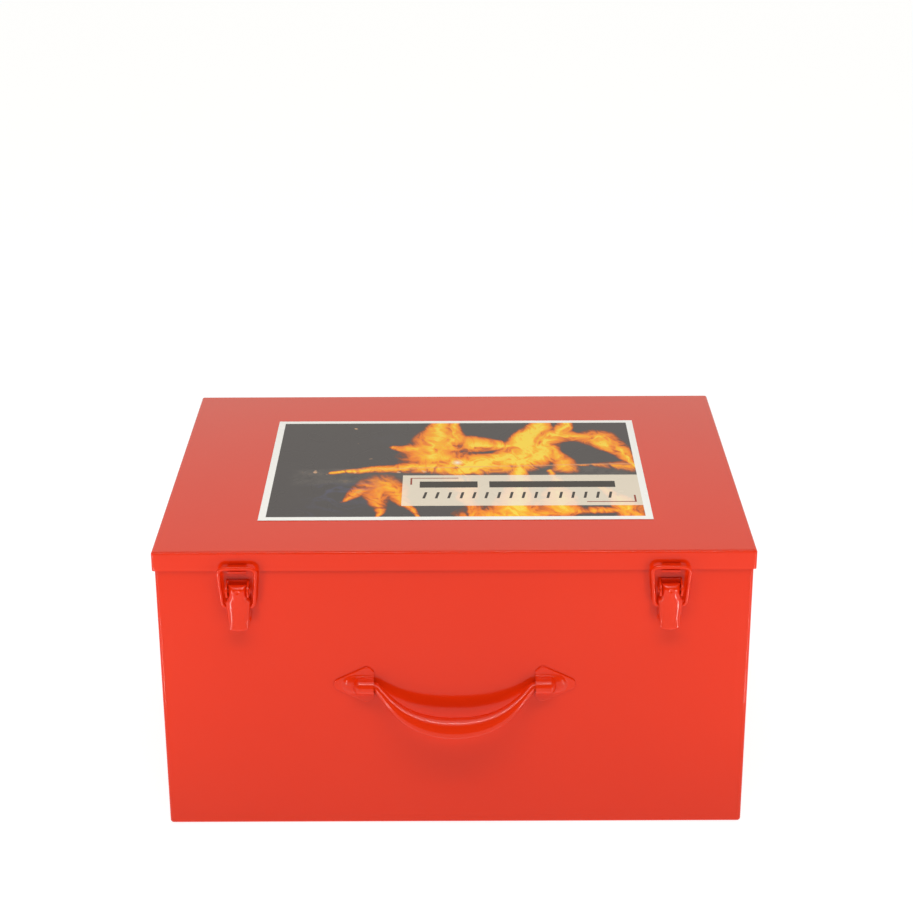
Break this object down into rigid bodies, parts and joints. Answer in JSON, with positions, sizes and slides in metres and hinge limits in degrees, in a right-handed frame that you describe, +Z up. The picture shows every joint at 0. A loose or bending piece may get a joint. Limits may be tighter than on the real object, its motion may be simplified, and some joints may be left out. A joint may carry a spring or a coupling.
{
  "type": "battery safe case",
  "caption": "Painted sheet-steel storage case with a hinged lid, draw latches, a front carrying handle and a fire-board lining for model battery packs.",
  "frame": {"origin": "on the floor, at the centre of the body's flat underside", "axes": "+X to the right seen from the front, -Y to the front with the handle and latches, +Z up"},
  "size_m": [0.44, 0.3617, 0.2285],
  "materials": {
    "red_paint": "gloss red stove enamel",
    "zinc_steel": "zinc plated",
    "fire_board": "matt mineral board",
    "ceramic_felt": "matt needled felt",
    "printed_film": "satin laminated print"
  },
  "bodies": {
    "body": {"body_shell": "red_paint", "body_hinge_leaf": "red_paint", "hinge_pin": "zinc_steel", "latch_base_left": "red_paint", "latch_base_right": "red_paint", "latch_pin_left": "red_paint", "latch_pin_right": "red_paint", "handle_bracket_left": "red_paint", "handle_bracket_right": "red_paint", "liner_bottom": "fire_board", "liner_front": "fire_board", "liner_back": "fire_board", "liner_left": "fire_board", "liner_right": "fire_board", "stay_stud_left": "zinc_steel", "stay_stud_right": "zinc_steel"},
    "lid": {"lid_shell": "red_paint", "lid_hinge_leaf": "red_paint", "label": "printed_film", "catch_left": "red_paint", "catch_right": "red_paint", "liner_lid": "fire_board", "lid_seal": "ceramic_felt", "stay_bracket_left": "zinc_steel", "stay_bracket_right": "zinc_steel", "stay_rivet_left": "zinc_steel", "stay_rivet_right": "zinc_steel"},
    "lever_left": {"latch_lever_left": "red_paint"},
    "lever_right": {"latch_lever_right": "red_paint"},
    "bail_left": {"latch_bail_left": "red_paint"},
    "bail_right": {"latch_bail_right": "red_paint"},
    "handle": {"handle": "red_paint"},
    "stay_left": {"stay_left": "zinc_steel"},
    "stay_right": {"stay_right": "zinc_steel"}
  },
  "joints": [
    {"name": "lid_hinge", "type": "hinge", "parent": "body", "child": "lid", "pos_m": [0, 0.1681, 0.213], "axis": [-1, 0, 0], "range_deg": [0, 105]},
    {"name": "lever_left_pivot", "type": "hinge", "parent": "body", "child": "lever_left", "pos_m": [-0.1576, -0.1697, 0.1995], "axis": [-1, 0, 0], "range_deg": [0, 150]},
    {"name": "lever_right_pivot", "type": "hinge", "parent": "body", "child": "lever_right", "pos_m": [0.1576, -0.1697, 0.1995], "axis": [-1, 0, 0], "range_deg": [0, 150]},
    {"name": "bail_left_pivot", "type": "hinge", "parent": "lever_left", "child": "bail_left", "pos_m": [-0.1576, -0.1678, 0.186], "axis": [-1, 0, 0], "range_deg": [-165, 0]},
    {"name": "bail_right_pivot", "type": "hinge", "parent": "lever_right", "child": "bail_right", "pos_m": [0.1576, -0.1678, 0.186], "axis": [-1, 0, 0], "range_deg": [-165, 0]},
    {"name": "handle_pivot", "type": "hinge", "parent": "body", "child": "handle", "pos_m": [0, -0.1682, 0.1195], "axis": [-1, 0, 0], "range_deg": [-34, 145]},
    {"name": "stay_left_pivot", "type": "hinge", "parent": "lid", "child": "stay_left", "pos_m": [-0.214, 0.07844, 0.20516], "axis": [-1, 0, 0], "range_deg": [-52.5, 0]},
    {"name": "stay_right_pivot", "type": "hinge", "parent": "lid", "child": "stay_right", "pos_m": [0.214, 0.07844, 0.20516], "axis": [-1, 0, 0], "range_deg": [-52.5, 0]}
  ],
  "couplings": [
    {"joint": "bail_left_pivot", "follows": "lever_left_pivot", "ratio": -1.1},
    {"joint": "bail_right_pivot", "follows": "lever_right_pivot", "ratio": -1.1},
    {"joint": "stay_left_pivot", "follows": "lid_hinge", "ratio": -0.5},
    {"joint": "stay_right_pivot", "follows": "lid_hinge", "ratio": -0.5}
  ]
}
